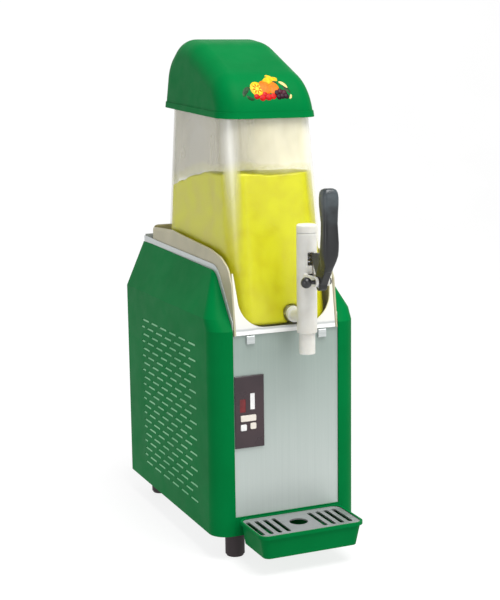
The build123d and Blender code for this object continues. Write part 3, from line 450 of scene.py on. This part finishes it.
def camera():
    """The eye, turned by yaw to the right, by pitch downward and by roll about its axis."""
    yaw, pitch, roll = [math.radians(angle) for angle in (CAMERA_YAW, CAMERA_PITCH, CAMERA_ROLL)]
    forward = Vector((math.sin(yaw) * math.cos(pitch), math.cos(yaw) * math.cos(pitch), -math.sin(pitch)))
    level = Vector((math.cos(yaw), -math.sin(yaw), 0.0))
    upward = level.cross(forward)
    right = level * math.cos(roll) + upward * math.sin(roll)
    up = upward * math.cos(roll) - level * math.sin(roll)
    matrix = Matrix.Identity(4)
    for column, axis in enumerate((right, up, -forward)):
        for row in range(3):
            matrix[row][column] = axis[row]
    matrix.translation = Vector(CAMERA_PLACE)
    lens = bpy.data.cameras.new("camera")
    lens.lens = CAMERA_LENS
    lens.sensor_width = CAMERA_SENSOR
    eye = bpy.data.objects.new("camera", lens)
    scene.collection.objects.link(eye)
    eye.matrix_world = matrix
    scene.camera = eye


def lights():
    """A large soft key from above, a weak fill, a strip for the bowl's corner and a white surround."""
    softbox("overhead_key", (0.35, -1.25, 3.1), (0.0, -0.05, 0.45), (1.9, 1.9), 120.0)
    softbox("front_fill", (0.9, -3.4, 1.1), (0.0, 0.0, 0.35), (1.8, 1.4), 12.0)
    strip = softbox("corner_glint", (-2.3, -1.35, 0.85), (0.0, -0.05, 0.55), (0.9, 1.5), 14.0)
    strip.visible_diffuse = False
    strip.visible_transmission = False

    world = bpy.data.worlds.new("studio")
    world.use_nodes = True
    surround = world.node_tree.nodes["Background"]
    surround.inputs["Color"].default_value = (1.0, 1.0, 1.0, 1.0)
    surround.inputs["Strength"].default_value = WORLD_LIGHT
    scene.world = world
    scene.view_settings.view_transform = "Standard"


def softbox(name, place, target, size, power):
    """A rectangular light at place that faces target and isn't seen itself."""
    lamp = bpy.data.lights.new(name, "AREA")
    lamp.shape = "RECTANGLE"
    lamp.size, lamp.size_y = size
    lamp.energy = power
    thing = bpy.data.objects.new(name, lamp)
    scene.collection.objects.link(thing)
    thing.location = place
    thing.rotation_euler = (Vector(target) - Vector(place)).to_track_quat("-Z", "Y").to_euler()
    thing.visible_camera = False
    return thing


def floor():
    """A pale seamless floor that curves up into a backdrop."""
    reach, depth, rise, bend, steps = 6.0, 3.4, 3.6, 0.9, 16
    profile = [(-reach, 0.0), (depth - bend, 0.0)]
    for step in range(1, steps + 1):
        angle = math.radians(90 * step / steps)
        profile.append((depth - bend + bend * math.sin(angle), bend - bend * math.cos(angle)))
    profile.append((depth, rise))
    shape = bmesh.new()
    rows = [[shape.verts.new((x, y, z)) for x in (-reach, reach)] for y, z in profile]
    for low, high in zip(rows, rows[1:]):
        shape.faces.new((low[0], low[1], high[1], high[0]))
    sweep = finished("floor_sweep", shape, floor_look())
    for face in sweep.data.polygons:
        face.use_smooth = True


def floor_look():
    """Grey paper with a glow of its own, so that it is white and casts little colour back."""
    paint = Paint("floor_paper")
    grain = paint.noise(3.0, 5.0)
    paint.set(Base_Color=paint.ramp(grain, (0.3, (0.20, 0.20, 0.20)), (0.7, (0.22, 0.22, 0.22))))
    paint.set(Emission_Color=(1.0, 1.0, 1.0, 1.0), Emission_Strength=FLOOR_GLOW)
    paint.set(Roughness=paint.band(paint.noise(8.0), 0.3, 0.7, 0.55, 0.7))
    paint.set(Specular_IOR_Level=0.02)
    return paint.material


def finished(name, shape, look, smooth=None):
    """A bmesh as an object with one look; smooth is the sharpest angle, in degrees, that is shaded round."""
    mesh = bpy.data.meshes.new(name)
    bmesh.ops.recalc_face_normals(shape, faces=shape.faces)
    shape.to_mesh(mesh)
    shape.free()
    mesh.materials.append(look)
    thing = bpy.data.objects.new(name, mesh)
    scene.collection.objects.link(thing)
    if smooth is not None:
        mesh.shade_smooth()
        mesh.set_sharp_from_angle(angle=math.radians(smooth))
    return thing


def copied(name, node):
    """A new object with a copy of a CAD node's mesh."""
    thing = bpy.data.objects.new(name, nodes[node].data.copy())
    scene.collection.objects.link(thing)
    return thing


def place_on(thing, body, node=None):
    """Lets a piece ride on a body and the CAD node it stands for."""
    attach(thing, body)
    if node is not None:
        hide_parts(node)


def skin_between(shape, rings):
    """Faces from each closed ring of points to the next."""
    for low, high in zip(rings, rings[1:]):
        for here in range(len(low)):
            following = (here + 1) % len(low)
            shape.faces.new((low[here], low[following], high[following], high[here]))


# ---------------------------------------------------------------- pieces

def softened(name, node, body, slot, voxel, rounds, look=None):
    """A CAD piece again with its edges softened as a mould leaves them. It stands for the node."""
    thing = copied(name, node)
    remesh = thing.modifiers.new("skin", "REMESH")
    remesh.mode = "VOXEL"
    remesh.voxel_size = voxel
    smooth = thing.modifiers.new("soften", "SMOOTH")
    smooth.factor = 0.5
    smooth.iterations = rounds
    settle(thing, look or looks[slot])
    place_on(thing, body, node)
    return thing


def settle(thing, look):
    """Applies a piece's modifiers and gives it its look."""
    shown = thing.evaluated_get(bpy.context.evaluated_depsgraph_get())
    mesh = bpy.data.meshes.new_from_object(shown)
    thing.modifiers.clear()
    thing.data = mesh
    mesh.materials.clear()
    mesh.materials.append(look)
    mesh.shade_smooth()


def slush_bulk():
    """The slush, drawn in slightly from the bowl's walls, with a churned surface."""
    thing = softened("slush_bulk", "slush_mix", "bowl", "slush", 0.0024, 2)
    for vertex in thing.data.vertices:
        point = vertex.co
        drop = sum(fall * clamp((point.y - start) / (end - start)) for start, end, fall in SLUSH_FALLS)
        depth = SLUSH_TOP - drop - point.z
        if depth < CHURN_DEPTH:
            share = clamp(1.0 - depth / CHURN_DEPTH)
            lumps = noise.fractal(point * 38.0, 0.9, 2.0, 4)
            ridges = noise.noise(Vector((point.x * 16.0, point.y * 16.0, 4.0)))
            point.z += share * (0.0022 * lumps + 0.0035 * ridges - 0.001)
        vertex.co = point


def clamp(value):
    return max(0.0, min(1.0, value))


def squeezed_spring():
    """The tap's spring, which closes up towards its seat as the piston rises; here a fixed copy of the CAD
    coil rides on the bowl with a mesh of its own.
    """
    piece = copied("tap_spring_coil", "tap_spring")
    place_on(piece, "bowl", "tap_spring")
    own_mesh(piece)


def louvre_lips():
    """The pressed lip of each louvre: a sloping tongue inside the slot, coloured a paler green than the
    shell as a painted highlight for the light it catches.
    """
    # painted highlight: the lips' pale mint green stands for light caught on them
    look = moulded("louvre_lip_highlight", srgb(150, 218, 168), srgb(104, 192, 134), 0.35, 700.0, 0.00003, 0.3)
    for side, label in ((-1, "left"), (1, "right")):
        panel_low, panel_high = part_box("side_panel_" + label)
        outside = panel_low.x if side < 0 else panel_high.x
        shape = bmesh.new()
        for row in range(LOUVRE_ROWS):
            shifted = row % 2 == 1
            for column in range(LOUVRE_COLUMNS):
                start = LOUVRE_FRONT + (column + (0.5 if shifted else 0.0)) * LOUVRE_STEP
                short = shifted and column == LOUVRE_COLUMNS - 1
                length = LOUVRE_LENGTH / 2 if short else LOUVRE_LENGTH
                louvre_tongue(shape, outside, side, start, length, LOUVRE_BOTTOM + row * LOUVRE_PITCH)
        place_on(finished("louvre_lips_" + label, shape, look), "chassis")


def louvre_tongue(shape, outside, side, start, length, bottom):
    """One tongue: flush with the sheet at its foot, leaning inward to its top."""
    outer = outside - side * LIP_PLAY
    foot, top = bottom + LIP_PLAY, bottom + LIP_RISE
    section = ((outer, foot), (outer - side * LIP_LEAN, top), (outer - side * (LIP_LEAN + LIP_THICK), top),
               (outer - side * (LIP_THICK + 0.4 * MM), foot))
    ends = [[shape.verts.new((x, y, z)) for x, z in section]
            for y in (start + LIP_PLAY, start + length - LIP_PLAY)]
    skin_between(shape, ends)
    for end in ends:
        shape.faces.new(end)


# ---------------------------------------------------------------- fruit motif on the lid

class LidPicture:
    """Low domed fruit shapes that follow the lid's front. Places are millimetres from the middle."""

    def __init__(self):
        low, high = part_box("lid_badge")
        self.middle = (low + high) / 2
        tree = bpy.context.evaluated_depsgraph_get()
        self.surface = BVHTree.FromObject(nodes["lid"], tree)
        self.shapes = {}

    def point(self, across, up, proud):
        """A point of the lid's front face, standing proud of it."""
        start = Vector((self.middle.x + across * MM, -1.0, self.middle.z + up * MM))
        place, normal, _, _ = self.surface.ray_cast(start, Vector((0, 1, 0)))
        return place + normal * (proud * MM)

    def patch(self, colour, rows, height):
        """A domed patch through rows of points; the rim dips into the lid."""
        shape = self.shapes.setdefault(colour, bmesh.new())
        grid = []
        for r, row in enumerate(rows):
            along = 1 - abs(2 * r / (len(rows) - 1) - 1) ** 3
            line = []
            for c, (across, up) in enumerate(row):
                bulge = 1 - abs(2 * c / (len(row) - 1) - 1) ** 2.5
                line.append(shape.verts.new(self.point(across, up, height * along * bulge - FRUIT_SINK)))
            grid.append(line)
        for low, high in zip(grid, grid[1:]):
            for k in range(len(low) - 1):
                shape.faces.new((low[k], low[k + 1], high[k + 1], high[k]))

    def disc(self, colour, x, z, wide, tall, height, turn=0.0):
        """A round or oval fruit, turned in the plane of the picture."""
        shape = self.shapes.setdefault(colour, bmesh.new())
        rows = []
        for ring in range(FRUIT_RINGS + 1):
            reach = ring / FRUIT_RINGS
            proud = height * math.sqrt(max(0.0, 1 - reach ** 2.4)) - FRUIT_SINK
            row = []
            for spoke in range(FRUIT_SPOKES):
                angle = 2 * math.pi * spoke / FRUIT_SPOKES
                a, b = wide * reach * math.cos(angle), tall * reach * math.sin(angle)
                across = x + a * math.cos(turn) - b * math.sin(turn)
                up = z + a * math.sin(turn) + b * math.cos(turn)
                row.append(shape.verts.new(self.point(across, up, proud)))
            rows.append(row)
        skin_between(shape, rows)

    def bow(self, colour, x, z, radius, begin, end, width, height):
        """A curved fruit or leaf along an arc, pointed at both ends."""
        rows = []
        for step in range(BOW_STEPS + 1):
            share = step / BOW_STEPS
            angle = math.radians(begin + (end - begin) * share)
            half = width / 2 * math.sqrt(max(0.02, math.sin(math.pi * share)))
            row = []
            for side in BOW_ACROSS:
                reach = radius + half * side
                row.append((x + reach * math.cos(angle), z + reach * math.sin(angle)))
            rows.append(row)
        self.patch(colour, rows, height)

    def finish(self, colours):
        """One object for each colour, riding on the lid; the CAD's badge is hidden and the fruit takes its
        place.
        """
        for colour, shape in self.shapes.items():
            bmesh.ops.remove_doubles(shape, verts=shape.verts, dist=1e-7)
            piece = finished("fruit_" + colour, shape, colours[colour], 60)
            place_on(piece, "lid")
        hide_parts("lid_badge")


def fruit_skin(name, light, dark, scale=900.0):
    """Fruit skin: two mingled tones and a fine pitted surface."""
    paint = Paint(name)
    tone = paint.ramp(paint.noise(scale / 3, 4.0), (0.35, dark), (0.65, light))
    pits = paint.node("ShaderNodeTexVoronoi", Vector=paint.place)
    pits.inputs["Scale"].default_value = scale
    paint.set(Base_Color=tone, Normal=paint.bump(pits.outputs["Distance"], 0.0001, 0.3))
    paint.set(Roughness=paint.band(paint.noise(300.0), 0.3, 0.7, 0.3, 0.45))
    paint.set(Specular_IOR_Level=0.12)
    return paint.material


def lid_picture():
    """A generic heap of fruit: a lemon slice, oranges, bananas, berries and grapes among leaves."""
    colours = {
        "yellow": fruit_skin("banana_skin", srgb(226, 186, 24), srgb(206, 156, 12), 500.0),
        "pale": fruit_skin("lemon_flesh", srgb(238, 214, 66), srgb(224, 186, 30), 1500.0),
        "orange": fruit_skin("orange_skin", srgb(222, 118, 8), srgb(204, 96, 4), 1200.0),
        "red": fruit_skin("berry_skin", srgb(196, 14, 14), srgb(150, 6, 10), 800.0),
        "purple": fruit_skin("grape_skin", srgb(76, 12, 36), srgb(34, 5, 22), 300.0),
        "leaf": fruit_skin("leaf_skin", srgb(22, 70, 22), srgb(6, 42, 18), 700.0),
        "cream": fruit_skin("cut_flesh", srgb(228, 200, 140), srgb(212, 176, 104), 900.0),
    }
    picture = LidPicture()
    picture.bow("leaf", -24, -18, 20, 105, 165, 8, 0.3)
    picture.bow("leaf", -28, -4, 12, 210, 280, 6, 0.3)
    picture.bow("leaf", 21, -12, 13, 15, 80, 6, 0.3)
    picture.bow("leaf", 8, 2, 9, 20, 100, 4, 0.3)
    picture.disc("orange", 8, 0, 9.5, 9.0, 0.6)
    picture.bow("yellow", 10, -13, 26, 68, 132, 8, 0.8)
    picture.bow("yellow", 18, -9, 23, 84, 150, 7, 0.7)
    picture.bow("yellow", 4, 6, 12, 40, 100, 3, 0.6)
    picture.bow("cream", 17, -6, 15, 20, 80, 5, 0.6)
    picture.disc("orange", -5, 1, 11.0, 10.0, 0.9)
    x, z = LEMON_PLACE
    picture.disc("yellow", x, z, 11.0, 10.5, 0.6)
    picture.disc("pale", x, z, 8.4, 8.0, 1.0)
    for segment in range(LEMON_SEGMENTS):
        angle = math.radians(360 / LEMON_SEGMENTS * segment + 10)
        across, up = x + 4.8 * math.cos(angle), z + 4.6 * math.sin(angle)
        picture.disc("orange", across, up, 2.8, 1.3, 1.8, angle)
    for x, z, size in ((-22, -12, 4.6), (-13, -14, 5.4), (-3, -13, 5.8), (5, -12, 5.0), (-8, -9, 4.4)):
        picture.disc("red", x, z, size, size * 0.9, 1.1, 0.3)
    for x, z in ((12, -7), (18, -5), (24, -7), (14, -13), (20, -12), (26, -12)):
        picture.disc("purple", x, z, 4.4, 4.4, 1.3)
    picture.bow("cream", 27, -10, 7, 300, 365, 3.5, 0.5)
    picture.finish(colours)


# ---------------------------------------------------------------- tap lever

def lever():
    """The lever: the CAD's hook and stem with softened edges, and a waisted grip with a rounded head."""
    piece = softened("lever_moulding", "tap_lever", "tap_lever", "black_plastic", 0.0009, 5, lever_look())
    shape = bmesh.new()
    shape.from_mesh(piece.data)
    everything = shape.verts[:] + shape.edges[:] + shape.faces[:]
    cut = {"plane_co": (0, 0, GRIP_CUT), "plane_no": (0, 0, 1), "clear_outer": True}
    bmesh.ops.bisect_plane(shape, geom=everything, **cut)
    grip_loft(shape)
    web(shape)
    bmesh.ops.recalc_face_normals(shape, faces=shape.faces)
    shape.to_mesh(piece.data)
    shape.free()
    piece.data.shade_smooth()
    lever_screw()


def grip_loft(shape):
    """A closed skin through the grip's sections."""
    rings = []
    steps = int((GRIP_SECTIONS[-1][0] - GRIP_SECTIONS[0][0]) / GRIP_STEP)
    for step in range(steps + 2):
        height = min(GRIP_SECTIONS[0][0] + GRIP_STEP * step, GRIP_SECTIONS[-1][0])
        half, front, back = grip_section(height)
        ring = []
        for spoke in range(GRIP_SPOKES):
            angle = 2 * math.pi * spoke / GRIP_SPOKES
            across = LEVER_MIDDLE + squared(math.cos(angle)) * half
            along = (front + back) / 2 + squared(math.sin(angle)) * (back - front) / 2
            ring.append(shape.verts.new((across * MM, along * MM, height * MM)))
        rings.append(ring)
    skin_between(shape, rings)
    shape.faces.new(rings[0])
    shape.faces.new(rings[-1])


def squared(value):
    """Pushes a circle's coordinate outward, towards a rounded square."""
    return math.copysign(abs(value) ** GRIP_SQUARENESS, value)


def grip_section(height):
    """The grip's half width, front and back at a height."""
    for low, high in zip(GRIP_SECTIONS, GRIP_SECTIONS[1:]):
        if height <= high[0]:
            share = (height - low[0]) / (high[0] - low[0])
            return [a + (b - a) * share for a, b in zip(low[1:], high[1:])]


def web(shape):
    """The flat plate between the lever's stem and its spur."""
    sides = []
    for offset in (-WEB_HALF, WEB_HALF):
        x = (LEVER_MIDDLE + offset) * MM
        sides.append([shape.verts.new((x, y * MM, z * MM)) for y, z in WEB_OUTLINE])
    skin_between(shape, sides)
    for side in sides:
        shape.faces.new(side)


def lever_look():
    """Black moulding with a painted grey sheen towards the head of the grip."""
    paint = Paint("lever_black")
    # painted highlight: grey rises with height towards the grip's head, broken up by clouds
    height = paint.band(paint.axis("Z"), 0.500, 0.560)
    clouds = paint.noise(60.0, 3.0)
    painted_sheen = paint.math("MULTIPLY", height, clouds)
    tone = paint.ramp(painted_sheen, (0.15, srgb(18, 20, 22)), (0.55, srgb(62, 70, 74)))
    paint.set(Base_Color=tone, Normal=paint.bump(paint.noise(900.0, 2.0), 0.00004))
    paint.set(Roughness=paint.band(clouds, 0.3, 0.7, 0.30, 0.42))
    paint.set(Specular_IOR_Level=0.5)
    return paint.material


def lever_screw():
    """The low round-headed screw, with a driving slot, on the left face of the lever's tail."""
    shape = bmesh.new()
    steps, spokes = 6, 32
    rings = []
    for step in range(steps + 1):
        angle = math.pi / 2 * step / steps
        reach, rise = SCREW_RADIUS * math.sin(angle), SCREW_HEIGHT * math.cos(angle)
        ring = []
        for spoke in range(spokes):
            turn = 2 * math.pi * spoke / spokes
            across = reach * math.cos(turn)
            in_slot = abs(across) < SCREW_RADIUS * 0.16 and step < steps - 1
            level = rise - SCREW_HEIGHT * 0.45 if in_slot else rise
            ring.append(shape.verts.new((across, reach * math.sin(turn), level)))
        rings.append(ring)
    skin_between(shape, rings)
    shape.faces.new(rings[-1])
    low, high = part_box("tap_pivot_pin")
    pivot = (low + high) / 2
    seat = Vector(((LEVER_MIDDLE - LEVER_HALF) * MM, pivot.y - TAIL_FORWARD, pivot.z - TAIL_BELOW))
    facing_left = Vector((0, 0, 1)).rotation_difference(Vector((-1, 0, 0))).to_matrix().to_4x4()
    shape.transform(Matrix.Translation(seat) @ facing_left)
    bmesh.ops.remove_doubles(shape, verts=shape.verts, dist=1e-8)
    place_on(finished("lever_screw", shape, looks["machine_steel"], 40), "tap_lever")


# ---------------------------------------------------------------- the scene

paint_cad_nodes()
special_looks()
camera()
lights()
floor()
slush_bulk()
squeezed_spring()
louvre_lips()
lid_picture()
lever()
softened("tap_moulding", "tap_body", "bowl", "white_plastic", 0.0008, 4)
